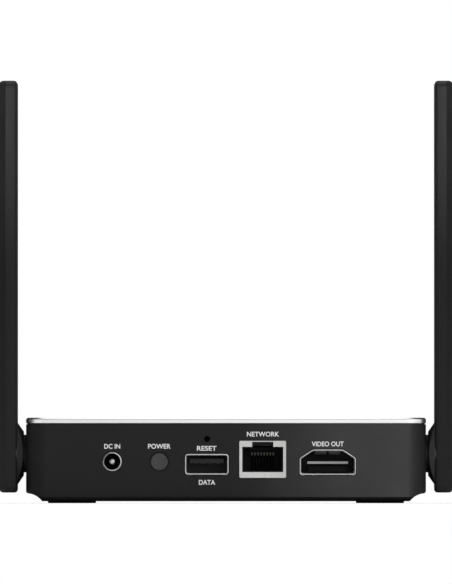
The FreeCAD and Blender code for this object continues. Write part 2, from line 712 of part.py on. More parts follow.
def antenna_element():
    width, length, thickness = ELEMENT_SIZE
    x = out_from_paddle(PADDLE_FLOOR)
    board = box((x, x + thickness), (PIVOT_Y - width / 2, PIVOT_Y + width / 2), (ELEMENT_LOW_Z, ELEMENT_LOW_Z + length))
    for z in (ELEMENT_LOW_Z + 10, ELEMENT_LOW_Z + 90):
        board = board.cut(rod(1.1, (x - 1, PIVOT_Y, z), X_AXIS, 4))
    return board


def antenna_barrel():
    """The hollow hinge barrel, flanged inside the paddle and grooved for its clip."""
    body = hinge_rod(BARREL_RADIUS, -7.6, PADDLE_FLOOR)
    body = body.fuse(hinge_rod(6.5, PADDLE_FLOOR, PADDLE_FLOOR + 0.8))
    groove = hinge_rod(BARREL_RADIUS + 1, -6.75, -5.95).cut(hinge_rod(4.2, -8, -5))
    body = body.cut(groove)
    return body.cut(hinge_rod(BARREL_BORE, -8, 4)).removeSplitter()


def antenna_washer():
    return hinge_rod(7.0, -5.9, -5.2).cut(hinge_rod(BARREL_RADIUS + 0.1, -6, -5))


def antenna_clip():
    """An open ring that snaps into the barrel's groove."""
    ring = hinge_rod(6.4, -6.7, -6.0).cut(hinge_rod(4.25, -7, -5))
    x = out_from_paddle(-7)
    return ring.cut(box((x, x + 2), (PIVOT_Y - 3.0, PIVOT_Y + 3.0), (PIVOT_Z, PIVOT_Z + 9)))


def antenna_coax():
    """The lead through the barrel and up the paddle to its board."""
    x = out_from_paddle(PADDLE_FLOOR + ELEMENT_SIZE[2] + COAX_RADIUS + 0.05)
    route = [
        Vector(62.3, PIVOT_Y, PIVOT_Z),
        Vector(x, PIVOT_Y, PIVOT_Z),
        Vector(x, PIVOT_Y, ELEMENT_LOW_Z + 7),
    ]
    return tube(route, COAX_RADIUS, 2.4)


def build_nodes():
    """Every node's name and its shape."""
    sink_base = BOARD_TOP + 1.6 + 0.5
    nodes = {
        "housing": housing(),
        "top_plate": top_plate(),
        "bottom_cover": bottom_cover(),
        "rubber_feet": rubber_feet(),
        "case_screws": case_screws(),
        "rating_label": rating_label(),
        "front_window": front_window(),
        "main_board": main_board(),
        "board_screws": board_screws(),
        "processor": on_board(8.0, -5.0, 17, 17, 1.6),
        "thermal_pad": on_board(8.0, -5.0, 16, 16, 0.5, BOARD_TOP + 1.6),
        "heat_sink": heat_sink(8.0, -5.0, sink_base),
        "memory_chips": chip_row(((-14, -14), (-14, 2), (-26, -14), (-26, 2)), 9, 13, 1.1),
        "flash_chip": on_board(34.0, -8.0, 12, 18, 1.0),
        "wifi_module": on_board(0, 22.0, 30, 16, 0.9),
        "wifi_shield": shield_can(0, 22.0, 18, 14, 2.0, BOARD_TOP + 0.9),
        "antenna_connectors": antenna_connectors(),
        "coax_right": lead_in_case(),
        "coax_left": mirror_x(lead_in_case()),
        "crystal": on_board(24.0, -24.0, 5.0, 3.2, 1.0),
        "inductors": inductors(((38, 38), (38, 10), (-42, 38))),
        "capacitors": capacitors(((28, 38), (28, 8), (-30, 40), (-42, 12))),
        "network_transformer": on_board(NETWORK_AT[0], 40.0, 16, 12.5, 5.5),
        "status_led": on_board(10.0, -52.0, 3.0, 2.0, 1.2),
        "light_pipe": box((8.8, 11.2), (-62.9, -51.0), (BOARD_TOP + 1.3, BOARD_TOP + 3.7)),
        "ir_receiver": ir_receiver(),
        "power_jack_body": power_jack_body(),
        "power_jack_sleeve": power_jack_sleeve(),
        "power_jack_pin": power_jack_pin(),
        "power_button": power_button(),
        "power_switch_slider": power_switch_slider(),
        "power_switch_body": power_switch_body(),
        "power_button_spring": power_button_spring(),
        "reset_board": reset_board(),
        "reset_switch_body": reset_switch_body(),
        "reset_plunger": reset_plunger(),
        "usb_shell": usb_shell(),
        "usb_tongue": usb_tongue(),
        "usb_contacts": usb_contacts(),
        "network_shell": network_shell(),
        "network_insert": network_insert(),
        "network_contacts": network_contacts(),
        "video_shell": video_shell(),
        "video_insert": video_insert(),
        "video_tongue": video_tongue(),
        "video_contacts": video_contacts(),
    }
    pieces = {
        "inner_shell": antenna_inner_shell,
        "outer_cover": antenna_outer_cover,
        "element": antenna_element,
        "barrel": antenna_barrel,
        "washer": antenna_washer,
        "clip": antenna_clip,
        "coax": antenna_coax,
    }
    for name, make in pieces.items():
        shape = make()
        nodes["antenna_right_" + name] = shape
        nodes["antenna_left_" + name] = mirror_x(shape)
    return nodes


os.makedirs("parts", exist_ok=True)
for node, shape in build_nodes().items():
    shape.exportStep("parts/" + node + ".step")
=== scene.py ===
"""Looks of the streaming media player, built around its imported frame, in metres unless a comment says so."""
import logging
import math
from dataclasses import dataclass
from enum import Enum

import bmesh
import bpy
from mathutils import Matrix, Vector


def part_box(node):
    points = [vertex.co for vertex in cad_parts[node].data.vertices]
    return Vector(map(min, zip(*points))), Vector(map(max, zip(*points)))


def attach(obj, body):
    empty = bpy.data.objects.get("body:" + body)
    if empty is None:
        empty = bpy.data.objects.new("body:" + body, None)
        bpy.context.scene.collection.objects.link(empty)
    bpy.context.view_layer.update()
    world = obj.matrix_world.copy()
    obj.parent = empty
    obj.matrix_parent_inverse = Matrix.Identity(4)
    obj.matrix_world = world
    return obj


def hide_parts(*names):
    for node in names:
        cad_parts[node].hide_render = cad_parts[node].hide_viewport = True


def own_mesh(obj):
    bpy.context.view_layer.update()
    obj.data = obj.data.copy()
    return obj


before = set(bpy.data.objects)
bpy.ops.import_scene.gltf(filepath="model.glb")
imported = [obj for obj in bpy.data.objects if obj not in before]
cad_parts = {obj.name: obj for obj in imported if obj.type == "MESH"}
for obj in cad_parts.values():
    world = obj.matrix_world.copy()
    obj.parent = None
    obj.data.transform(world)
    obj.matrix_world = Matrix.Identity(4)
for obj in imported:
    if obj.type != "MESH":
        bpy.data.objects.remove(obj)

MM = 0.001
ALONG_X, ALONG_Y, ALONG_Z = 0, 1, 2
SAME_PLACE = 0.0005 * MM  # corners closer than this are one corner
SEAM_GAP = 0.001 * MM  # what is left open where a turned shape meets itself
ON_PLANE = 0.002 * MM  # how near a corner has to be to count as in a plane
FACE_ON_PLANE = 0.01 * MM  # the same for the middle of a face
ALIGNED = 0.99  # the cosine above which a face looks along an axis
PARALLEL = 0.999  # the same for an edge
MIDDLE_OF_NOISE = (0.3, 0.7)  # where nearly all of a noise's values lie

LOG = logging.getLogger("media_player")
Colour = tuple[float, float, float]
Point = tuple[float, float, float]
Range = tuple[float, float]
Steps = tuple[tuple[float, float], ...]
Node = bpy.types.Node
Material = bpy.types.Material
Shape = bmesh.types.BMesh
Edges = list[bmesh.types.BMEdge]

NODES: dict[str, bpy.types.Object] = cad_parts


class Side(Enum):
    """Which antenna a piece belongs to, with the sign of its x."""

    LEFT = -1
    RIGHT = 1

    @property
    def body(self) -> str:
        """The name of the antenna's moving body."""
        return f"antenna_{self.name.lower()}"


class Axis(Enum):
    """The direction that a turned piece's own axis points in."""

    X = Matrix(((0, 0, 1), (1, 0, 0), (0, 1, 0)))
    Y = Matrix(((1, 0, 0), (0, 0, 1), (0, -1, 0)))
    Z = Matrix.Identity(3)


# ---- finishes


def put(node: Node, values: dict[str, object]) -> None:
    """Sets a node's inputs by their names."""
    for name, value in values.items():
        node.inputs[name].default_value = value


class NodeBuilder:
    """Adds nodes to one material and links them."""

    def __init__(self, name: str) -> None:
        """Starts an empty material.

        Args:
            name: The material's name.
        """
        self.material = bpy.data.materials.new(name)
        self.material.use_nodes = True
        self.tree = self.material.node_tree
        self.tree.nodes.clear()
        self.output = self.add("ShaderNodeOutputMaterial")
        self.surface = self.add("ShaderNodeBsdfPrincipled")
        self.link(self.surface, "BSDF", self.output, "Surface")
        self.place = self.add("ShaderNodeTexCoord")

    def add(self, kind: str, **settings: object) -> Node:
        """Adds a node.

        Args:
            kind: The node's type name.
            settings: Values for its own properties.

        Returns:
            The new node.
        """
        node = self.tree.nodes.new(kind)
        for key, value in settings.items():
            setattr(node, key, value)
        return node

    def link(self, start: Node, output: str | int, end: Node, socket: str | int) -> None:
        """Links an output of one node to an input of another."""
        self.tree.links.new(start.outputs[output], end.inputs[socket])

    def stretched(self, scale: Point) -> Node:
        """A place on the object with each axis scaled, for streaks.

        Args:
            scale: The scale along x, y and z.

        Returns:
            The mapping node.
        """
        mapping = self.add("ShaderNodeMapping")
        put(mapping, {"Scale": scale})
        self.link(self.place, "Object", mapping, "Vector")
        return mapping

    def noise(self, size: float, detail: float = 3.0, streak: Point | None = None) -> Node:
        """A noise whose features are about one size.

        Args:
            size: The size of a feature, in metres.
            detail: How many finer octaves it has.
            streak: A scale for each axis, if the noise is drawn out.

        Returns:
            The noise node.
        """
        node = self.add("ShaderNodeTexNoise")
        put(node, {"Scale": 1.0 / size, "Detail": detail})
        if streak is None:
            self.link(self.place, "Object", node, "Vector")
        else:
            self.link(self.stretched(streak), "Vector", node, "Vector")
        return node

    def remap(self, source: Node, output: str, start: Range, end: Range, **settings: object) -> Node:
        """Maps one range of a value onto another.

        Args:
            source: The node that gives the value.
            output: Its output's name.
            start: The range that is read.
            end: What its two ends become.
            settings: Values for the new node's own properties.

        Returns:
            The map range node.
        """
        node = self.add("ShaderNodeMapRange", **settings)
        put(node, {"From Min": start[0], "From Max": start[1], "To Min": end[0], "To Max": end[1]})
        self.link(source, output, node, "Value")
        return node

    def tint(self, factor: Node, first: Colour, second: Colour) -> None:
        """Colours the surface between two colours.

        Args:
            factor: A node whose first output runs from 0 to 1.
            first: The colour at 0.
            second: The colour at 1.
        """
        mix = self.add("ShaderNodeMix", data_type="RGBA")
        put(mix, {"A": (*first, 1.0), "B": (*second, 1.0)})
        self.tree.links.new(factor.outputs[0], mix.inputs["Factor"])
        self.tree.links.new(mix.outputs["Result"], self.surface.inputs["Base Color"])

    def shade(self, noise: Node, colour: Colour, factors: Range) -> None:
        """Makes a colour uneven.

        Args:
            noise: The pattern.
            colour: The colour.
            factors: How much darker and how much lighter it gets.
        """
        factor = self.remap(noise, "Fac", MIDDLE_OF_NOISE, (0.0, 1.0))
        self.tint(factor, scaled(colour, factors[0]), scaled(colour, factors[1]))

    def dull(self, noise: Node, roughness: float, change: Range) -> None:
        """Makes the roughness uneven.

        Args:
            noise: The pattern.
            roughness: The roughness without it.
            change: What is added where the noise is low, and where it is high.
        """
        ends = (roughness + change[0], roughness + change[1])
        dulled = self.remap(noise, "Fac", MIDDLE_OF_NOISE, ends)
        self.link(dulled, "Result", self.surface, "Roughness")

    def relief(self, source: Node, output: str, depth: float,
               under: Node | None = None) -> Node:
        """Raises the surface by a pattern.

        Args:
            source: The pattern's node.
            output: Its output's name.
            depth: The pattern's height, in metres.
            under: A bump that this one lies on.

        Returns:
            The bump node, linked to the surface.
        """
        bump = self.add("ShaderNodeBump")
        put(bump, {"Strength": 1.0, "Distance": depth})
        self.link(source, output, bump, "Height")
        if under is not None:
            self.link(under, "Normal", bump, "Normal")
        self.link(bump, "Normal", self.surface, "Normal")
        return bump


def scaled(colour: Colour, factor: float) -> Colour:
    """A colour made lighter or darker."""
    return tuple(min(c * factor, 1.0) for c in colour)


@dataclass(frozen=True)
class MouldedPlastic:
    """Plastic from a spark-eroded mould: a fine even grain, with faint handling marks."""

    name: str
    colour: Colour
    roughness: float = 0.5
    specular: float = 0.35
    grain: float = 0.28 * MM
    grain_depth: float = 0.006 * MM
    handling_size: float = 16 * MM
    flow_size: float = 2.5 * MM
    shade: Range = (0.88, 1.14)
    dulling: Range = (-0.035, 0.045)

    def build(self) -> Material:
        """Makes the material.

        Returns:
            The material.
        """
        nodes = NodeBuilder(self.name)
        put(nodes.surface, {"Specular IOR Level": self.specular})
        handling = nodes.noise(self.handling_size, 4.0)
        nodes.shade(handling, self.colour, self.shade)
        nodes.dull(handling, self.roughness, self.dulling)
        flow = nodes.relief(nodes.noise(self.flow_size, 1.0), "Fac", self.grain_depth)
        grain = nodes.noise(self.grain, 2.0)
        nodes.relief(grain, "Fac", self.grain_depth, flow)
        return nodes.material


@dataclass(frozen=True)
class SatinMetal:
    """Metal with drawn-out fine scratches."""

    name: str
    colour: Colour
    roughness: float = 0.3
    streak: Point = (1.0, 14.0, 14.0)
    scratch: float = 1.2 * MM
    scratch_depth: float = 0.0012 * MM
    haze_size: float = 12 * MM
    shade: Range = (0.94, 1.05)
    dulling: Range = (-0.04, 0.05)

    def build(self) -> Material:
        """Makes the material.

        Returns:
            The material.
        """
        nodes = NodeBuilder(self.name)
        put(nodes.surface, {"Metallic": 1.0})
        brushed = nodes.noise(self.scratch, 5.0, self.streak)
        nodes.shade(brushed, self.colour, self.shade)
        nodes.dull(nodes.noise(self.haze_size, 3.0), self.roughness, self.dulling)
        nodes.relief(brushed, "Fac", self.scratch_depth)
        return nodes.material


@dataclass(frozen=True)
class BlastedAluminium:
    """Aluminium with a fine bead-blasted and anodised surface."""

    name: str
    colour: Colour
    roughness: float = 0.36
    haze_size: float = 22 * MM
    shade: Range = (0.99, 1.01)
    dulling: Range = (-0.008, 0.008)
    bead: float = 0.18 * MM
    bead_depth: float = 0.0035 * MM

    def build(self) -> Material:
        """Makes the material.

        Returns:
            The material.
        """
        nodes = NodeBuilder(self.name)
        put(nodes.surface, {"Metallic": 1.0})
        haze = nodes.noise(self.haze_size, 4.0)
        nodes.shade(haze, self.colour, self.shade)
        nodes.dull(haze, self.roughness, self.dulling)
        beads = nodes.add("ShaderNodeTexVoronoi")
        put(beads, {"Scale": 1.0 / self.bead})
        nodes.link(nodes.place, "Object", beads, "Vector")
        nodes.relief(beads, "Distance", self.bead_depth)
        return nodes.material


@dataclass(frozen=True)
class SoftRubber:
    """Matt rubber with a fine open grain and a little dust."""

    name: str
    colour: Colour
    roughness: float = 0.85
    specular: float = 0.3
    dust_size: float = 4 * MM
    dust: Range = (1.0, 1.9)
    grain: float = 0.2 * MM
    grain_depth: float = 0.02 * MM

    def build(self) -> Material:
        """Makes the material.

        Returns:
            The material.
        """
        nodes = NodeBuilder(self.name)
        put(nodes.surface, {"Roughness": self.roughness, "Specular IOR Level": self.specular})
        nodes.shade(nodes.noise(self.dust_size, 6.0), self.colour, self.dust)
        nodes.relief(nodes.noise(self.grain, 3.0), "Fac", self.grain_depth)
        return nodes.material


@dataclass(frozen=True)
class PolishedPlastic:
    """Gloss plastic, with the faint waviness of a moulded window."""

    name: str
    colour: Colour
    transmission: float = 0.0
    wipe_size: float = 9 * MM
    wipe_streak: Point = (1.0, 1.0, 3.0)
    shade: Range = (1.0, 1.3)
    roughness: Range = (0.05, 0.11)
    wave: float = 6 * MM
    wave_depth: float = 0.004 * MM

    def build(self) -> Material:
        """Makes the material.

        Returns:
            The material.
        """
        nodes = NodeBuilder(self.name)
        put(nodes.surface, {"Transmission Weight": self.transmission})
        wipe = nodes.noise(self.wipe_size, 5.0, self.wipe_streak)
        nodes.shade(wipe, self.colour, self.shade)
        nodes.dull(wipe, 0.0, self.roughness)
        nodes.relief(nodes.noise(self.wave, 0.0), "Fac", self.wave_depth)
        return nodes.material


@dataclass(frozen=True)
class PrintedInk:
    """Pad-printed ink: flat, slightly uneven in cover."""

    name: str
    colour: Colour
    roughness: float = 0.55
    cover_size: float = 0.35 * MM
    cover: Range = (0.9, 1.0)
    tooth: float = 0.12 * MM
    tooth_depth: float = 0.002 * MM

    def build(self) -> Material:
        """Makes the material.

        Returns:
            The material.
        """
        nodes = NodeBuilder(self.name)
        put(nodes.surface, {"Roughness": self.roughness})
        nodes.shade(nodes.noise(self.cover_size, 4.0), self.colour, self.cover)
        nodes.relief(nodes.noise(self.tooth, 2.0), "Fac", self.tooth_depth)
        return nodes.material


@dataclass(frozen=True)
class SolderMask:
    """A circuit board: green mask over copper tracks, with tinned pads."""

    name: str
    mask: Colour = (0.006, 0.07, 0.03)
    track: Colour = (0.02, 0.16, 0.07)
    roughness: float = 0.32
    cell: float = 3.2 * MM
    randomness: float = 0.75
    track_edge: Range = (0.06, 0.09)
    track_height: float = 0.02 * MM

    def build(self) -> Material:
        """Makes the material.

        Returns:
            The material.
        """
        nodes = NodeBuilder(self.name)
        put(nodes.surface, {"Roughness": self.roughness})
        cells = nodes.add("ShaderNodeTexVoronoi", feature="DISTANCE_TO_EDGE")
        put(cells, {"Scale": 1.0 / self.cell, "Randomness": self.randomness})
        nodes.link(nodes.place, "Object", cells, "Vector")
        lines = nodes.remap(cells, "Distance", self.track_edge, (1.0, 0.0))
        nodes.tint(lines, self.mask, self.track)
        nodes.relief(lines, "Result", self.track_height)
        return nodes.material


class Finishes:
    """Every finish of the player, made once."""

    def __init__(self) -> None:
        """Makes the materials."""
        self.case = MouldedPlastic("case_plastic", (0.018, 0.018, 0.0182), 0.55, 0.3).build()
        self.cover = MouldedPlastic("cover_plastic", (0.006, 0.006, 0.0062), 0.62, 0.2).build()
        self.antenna = MouldedPlastic("antenna_plastic", (0.018, 0.018, 0.0182), 0.55, 0.3).build()
        self.button = MouldedPlastic("button_plastic", (0.075, 0.075, 0.075), 0.42, 0.5, 0.2 * MM).build()
        self.plate = BlastedAluminium("top_plate_metal", (0.88, 0.88, 0.885)).build()
        self.rubber = SoftRubber("rubber", (0.012, 0.012, 0.012)).build()
        self.steel = SatinMetal("socket_steel", (0.62, 0.62, 0.61), 0.28).build()
        self.hinge = SatinMetal("hinge_metal", (0.5, 0.5, 0.5), 0.35).build()
        self.spring = SatinMetal("spring_steel", (0.5, 0.5, 0.5), 0.4).build()
        self.tin = SatinMetal("tinned_steel", (0.66, 0.66, 0.64), 0.34).build()
        self.screw = SatinMetal("screw_steel", (0.04, 0.04, 0.042), 0.4, (4.0, 4.0, 1.0), 0.6 * MM).build()
        self.gold = SatinMetal("gold", (0.7, 0.56, 0.3), 0.28).build()
        # Contact metal darkened far below bright plated metal: painted shade, so the contacts read as shaded
        # inside the sockets.
        self.wire = SatinMetal("contact_wire_painted_shade", (0.09, 0.088, 0.08), 0.35).build()
        self.fins = SatinMetal("aluminium", (0.62, 0.62, 0.64), 0.38, (14.0, 1.0, 14.0)).build()
        self.can = SatinMetal("capacitor_can", (0.72, 0.72, 0.74), 0.25, (8.0, 8.0, 1.0)).build()
        self.insert = MouldedPlastic("socket_plastic", (0.006, 0.006, 0.006), 0.55, 0.2, 0.15 * MM).build()
        self.blade = MouldedPlastic("blade_plastic", (0.02, 0.02, 0.02), 0.5, 0.35, 0.15 * MM).build()
        # Near-black plunger: dark plastic, made darker still as painted shade so that the reset hole reads
        # black.
        self.plunger = MouldedPlastic("plunger_painted_shade", (0.003, 0.003, 0.003), 0.7, 0.1, 0.15 * MM).build()
        self.tongue = MouldedPlastic("tongue_plastic", (0.62, 0.62, 0.61), 0.5, 0.35, 0.15 * MM).build()
        self.natural = MouldedPlastic("white_plastic", (0.7, 0.7, 0.67), 0.4, 0.4).build()
        self.ferrite = MouldedPlastic("ferrite", (0.05, 0.047, 0.045), 0.65, 0.4, 0.4 * MM, 0.02 * MM).build()
        self.chip = MouldedPlastic("chip", (0.02, 0.02, 0.021), 0.55, 0.4, 0.12 * MM).build()
        self.jacket = MouldedPlastic("coax_jacket", (0.03, 0.03, 0.03), 0.4, 0.45).build()
        self.pad = SoftRubber("thermal_pad", (0.3, 0.36, 0.47)).build()
        self.window = PolishedPlastic("window", (0.008, 0.005, 0.006)).build()
        self.clear = PolishedPlastic("clear_plastic", (0.9, 0.9, 0.9), 0.9).build()
        self.board = SolderMask("circuit_board").build()
        self.label = PrintedInk("label", (0.42, 0.42, 0.42)).build()
        self.ink = PrintedInk("caption_ink", (0.82, 0.82, 0.82)).build()


# ---- mesh tools


def dress(names: list[str], material: Material) -> None:
    """Gives CAD nodes a finish.

    Args:
        names: The nodes.
        material: The finish.
    """
    for name in names:
        for slot in NODES[name].material_slots:
            slot.material = material
        LOG.info("dressed %s in %s", name, material.name)


def linked(name: str, data: bpy.types.ID) -> bpy.types.Object:
    """A new object in the scene."""
    bpy.context.scene.collection.objects.link(bpy.data.objects.new(name, data))
    return bpy.data.objects[name]


def finished(name: str, bm: Shape, material: Material, body: str,
             nodes: tuple[str, ...] = (), crease: float = 35.0) -> bpy.types.Object:
    """Turns a bmesh into a piece that rides on a body.

    Args:
        name: The piece's name.
        bm: Its shape, in the row frame. It is freed.
        material: Its finish.
        body: The CAD body that it rides on.
        nodes: The CAD nodes that it stands for.
        crease: Edges that turn more than this many degrees stay sharp.

    Returns:
        The piece.
    """
    bmesh.ops.remove_doubles(bm, verts=bm.verts, dist=SAME_PLACE)
    bmesh.ops.recalc_face_normals(bm, faces=bm.faces)
    mesh = bpy.data.meshes.new(name)
    bm.to_mesh(mesh)
    bm.free()
    mesh.polygons.foreach_set("use_smooth", [True] * len(mesh.polygons))
    mesh.set_sharp_from_angle(angle=math.radians(crease))
    mesh.materials.append(material)
    piece = linked(name, mesh)
    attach(piece, body)
    if nodes:
        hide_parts(*nodes)
    LOG.info("made %s: %d faces, on %s", name, len(mesh.polygons), body)
    return piece


def block(low: Vector, high: Vector) -> Shape:
    """A box.

    Args:
        low: The corner with the least x, y and z.
        high: The opposite corner.

    Returns:
        The box.
    """
    bm = bmesh.new()
    bmesh.ops.create_cube(bm, size=1.0)
    bmesh.ops.scale(bm, vec=high - low, verts=bm.verts)
    bmesh.ops.translate(bm, vec=(low + high) / 2, verts=bm.verts)
    return bm


def made_verts(made: dict[str, list]) -> list[bmesh.types.BMVert]:
    """The corners among what an operator has made."""
    return [v for v in made["geom"] if isinstance(v, bmesh.types.BMVert)]


def push(bm: Shape, faces: list[bmesh.types.BMFace], shift: Vector) -> None:
    """Extrudes faces by a shift."""
    raised = bmesh.ops.extrude_face_region(bm, geom=faces)
    bmesh.ops.translate(bm, vec=shift, verts=made_verts(raised))


def prism(outline: list[Point], shift: Vector) -> Shape:
    """A flat outline extruded into a solid.

    Args:
        outline: The corners in order.
        shift: From the outline to the far end.

    Returns:
        The solid.
    """
    bm = bmesh.new()
    bm.faces.new([bm.verts.new(corner) for corner in outline])
    push(bm, bm.faces[:], shift)
    bmesh.ops.recalc_face_normals(bm, faces=bm.faces)
    return bm


def edges_along(bm: Shape, axis: int) -> Edges:
    """The edges that run along one axis.

    Args:
        bm: The shape.
        axis: The axis's number.

    Returns:
        The edges.
    """
    found = []
    for edge in bm.edges:
        run = edge.verts[1].co - edge.verts[0].co
        if abs(run[axis]) > PARALLEL * run.length:
            found.append(edge)
    return found


def edges_at(bm: Shape, axis: int, value: float) -> Edges:
    """The edges that lie in the plane where one coordinate has a value."""
    return [e for e in bm.edges if all(abs(v.co[axis] - value) < ON_PLANE for v in e.verts)]


def rim_at(bm: Shape, axis: int, value: float) -> Edges:
    """The edges in such a plane where a flat face there meets another."""
    return [e for e in edges_at(bm, axis, value) if len(e.link_faces) == 2
            and sum(abs(f.normal[axis]) > ALIGNED for f in e.link_faces) == 1]


def bevel(bm: Shape, edges: Edges, width: float, segments: int) -> None:
    """Rounds or chamfers edges.

    Args:
        bm: The shape.
        edges: The edges.
        width: The bevel's width, in metres.
        segments: 1 for a chamfer, more for a round.
    """
    bmesh.ops.bevel(bm, geom=edges, offset=width, offset_type="OFFSET", affect="EDGES", segments=segments,
                    profile=0.5, material=-1, clamp_overlap=True)
    bm.normal_update()


def hollow(bm: Shape, axis: int, value: float, wall: float, depth: float) -> None:
    """Sinks the flat face that lies in a plane, leaving a wall round it.

    Args:
        bm: The shape.
        axis: The plane's axis.
        value: Its coordinate.
        wall: The wall's thickness.
        depth: How far the floor moves, along the axis, with its sign.
    """
    faces = [f for f in bm.faces if abs(f.normal[axis]) > ALIGNED
             and abs(f.calc_center_median()[axis] - value) < FACE_ON_PLANE]
    bmesh.ops.inset_region(bm, faces=faces, thickness=wall, use_even_offset=True)
    shift = Vector((0.0, 0.0, 0.0))
    shift[axis] = depth
    push(bm, faces, shift)
    bmesh.ops.delete(bm, geom=faces, context="FACES_ONLY")
    bm.normal_update()


def turned(profile: list[tuple[float, float]], centre: Point, axis: Axis, steps: int = 64,
           closed: bool = False) -> Shape:
    """Spins a profile round an axis.

    Args:
        profile: (radius, distance along the axis) of each corner, in metres.
        centre: The axis's origin.
        axis: Its direction.
        steps: How many sides the turned shape has.
        closed: Whether the profile's end joins its start, as in a ring.

    Returns:
        The shape.
    """
    bm = bmesh.new()
    verts = [bm.verts.new((radius, 0.0, along)) for radius, along in profile]
    edges = [bm.edges.new(pair) for pair in zip(verts, verts[1:])]
    if closed:
        edges.append(bm.edges.new((verts[-1], verts[0])))
    bmesh.ops.spin(bm, geom=verts + edges, cent=(0, 0, 0), axis=(0, 0, 1), dvec=(0, 0, 0),
                   angle=2 * math.pi, steps=steps, use_merge=True, use_duplicate=False)
    bmesh.ops.remove_doubles(bm, verts=bm.verts, dist=SEAM_GAP)
    bmesh.ops.rotate(bm, cent=(0, 0, 0), matrix=axis.value, verts=bm.verts)
    bmesh.ops.translate(bm, vec=Vector(centre), verts=bm.verts)
    return bm


def join(target: Shape, other: Shape) -> None:
    """Adds one shape to another.

    Args:
        target: The shape that grows.
        other: The shape that is added. It is freed.
    """
    mesh = bpy.data.meshes.new("joined")
    other.to_mesh(mesh)
    other.free()
    target.from_mesh(mesh)
    bpy.data.meshes.remove(mesh)


# ---- sub-assemblies


@dataclass
class Case:
    """The case: its shell, top plate, bottom cover, feet and screws."""

    finishes: Finishes
    corner: float = 6.5 * MM
    plate_bevel: float = 0.52 * MM
    edge_round: float = 0.14 * MM
    foot_radius: float = 7.6 * MM
    foot_round: float = 0.3 * MM
    ring_share: float = 0.62
    ring_half: Range = (0.35 * MM, 0.5 * MM)
    ring_depth: float = 0.15 * MM

    def build(self) -> None:
        """Makes and dresses the case's pieces."""
        self.top_plate()
        self.feet()
        f = self.finishes
        dress(["housing"], f.case)
        dress(["bottom_cover"], f.cover)
        dress(["case_screws"], f.screw)
        dress(["rating_label"], f.label)
        dress(["front_window"], f.window)

    def top_plate(self) -> None:
        """The silver plate: an upright edge, a small bevel and softened corners."""
        low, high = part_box("top_plate")
        low.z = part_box("housing")[1].z
        bm = block(low, high)
        bevel(bm, edges_along(bm, ALONG_Z), self.corner, 16)
        bevel(bm, rim_at(bm, ALONG_Z, high.z), self.plate_bevel, 1)
        bevel(bm, rim_at(bm, ALONG_Z, high.z), self.edge_round, 3)
        waist = high.z - self.plate_bevel
        bevel(bm, edges_at(bm, ALONG_Z, waist), self.edge_round, 3)
        finished("top_plate_skin", bm, self.finishes.plate, "root", ("top_plate",), 20.0)

    def feet(self) -> None:
        """Four round pads with soft edges and a shallow moulded ring underneath."""
        low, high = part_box("rubber_feet")
        radius, edge = self.foot_radius, self.foot_round
        top = high.z - low.z
        ring = self.ring_share * radius
        inner, outer = self.ring_half
        profile = [
            (0.0, 0.0), (ring - outer, 0.0), (ring - inner, self.ring_depth), (ring + inner, self.ring_depth),
            (ring + outer, 0.0), (radius - edge, 0.0), (radius - 0.3 * edge, 0.3 * edge), (radius, edge),
            (radius, top), (0.0, top),
        ]
        bm = bmesh.new()
        for x in (low.x + radius, high.x - radius):
            for y in (low.y + radius, high.y - radius):
                join(bm, turned(profile, (x, y, low.z), Axis.Z))
        finished("feet_pads", bm, self.finishes.rubber, "root", ("rubber_feet",))


@dataclass(frozen=True)
class Caption:
    """One printed word: its centre across the wall, its baseline and its size, in millimetres."""

    text: str
    x: float
    baseline: float
    height: float
    width: float


@dataclass
class Captions:
    """The plain words printed by the sockets."""

    finishes: Finishes
    thickness: float = 0.03 * MM
    boldness: float = 0.018
    facing: Matrix = Matrix(((-1, 0, 0), (0, 0, 1), (0, 1, 0))).freeze()
    words: tuple[Caption, ...] = (
        Caption("DC IN", 37.8, 18.05, 1.62, 5.3),
        Caption("POWER", 22.15, 18.05, 1.62, 7.5),
        Caption("RESET", 6.4, 17.4, 1.6, 6.5),
        Caption("DATA", 6.3, 6.1, 1.62, 5.4),
        Caption("NETWORK", -12.3, 22.1, 1.62, 10.7),
        Caption("VIDEO OUT", -33.8, 18.85, 1.62, 10.6),
    )

    def build(self) -> None:
        """Prints each word on the back wall."""
        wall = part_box("housing")[1].y
        for word in self.words:
            self.print_word(word, wall)

    def letters(self, text: str) -> Shape:
        """Flat letters, facing up.

        Args:
            text: What they say.

        Returns:
            The letters.
        """
        curve = bpy.data.curves.new("word", "FONT")
        curve.body = text
        curve.offset = self.boldness
        curve.resolution_u = 4
        holder = linked("word", curve)
        flat = bpy.data.meshes.new_from_object(holder.evaluated_get(bpy.context.evaluated_depsgraph_get()))
        bpy.data.objects.remove(holder)
        bm = bmesh.new()
        bm.from_mesh(flat)
        bpy.data.meshes.remove(flat)
        return bm

    def print_word(self, word: Caption, wall: float) -> None:
        """Makes one word as a thin raised film.

        Args:
            word: The word and its place.
            wall: The y of the back wall's face.
        """
        bm = self.letters(word.text)
        xs = [v.co.x for v in bm.verts]
        ys = [v.co.y for v in bm.verts]
        middle = (min(xs) + max(xs)) / 2
        bmesh.ops.translate(bm, vec=(-middle, -min(ys), 0), verts=bm.verts)
        size = (word.width * MM / (max(xs) - min(xs)), word.height * MM / (max(ys) - min(ys)), 1.0)
        bmesh.ops.scale(bm, vec=size, verts=bm.verts)
        push(bm, bm.faces[:], Vector((0, 0, self.thickness)))
        bmesh.ops.rotate(bm, cent=(0, 0, 0), matrix=self.facing, verts=bm.verts)
        bmesh.ops.translate(bm, vec=(word.x * MM, wall, word.baseline * MM), verts=bm.verts)
        name = "caption_" + word.text.lower().replace(" ", "_")
        finished(name, bm, self.finishes.ink, "root")


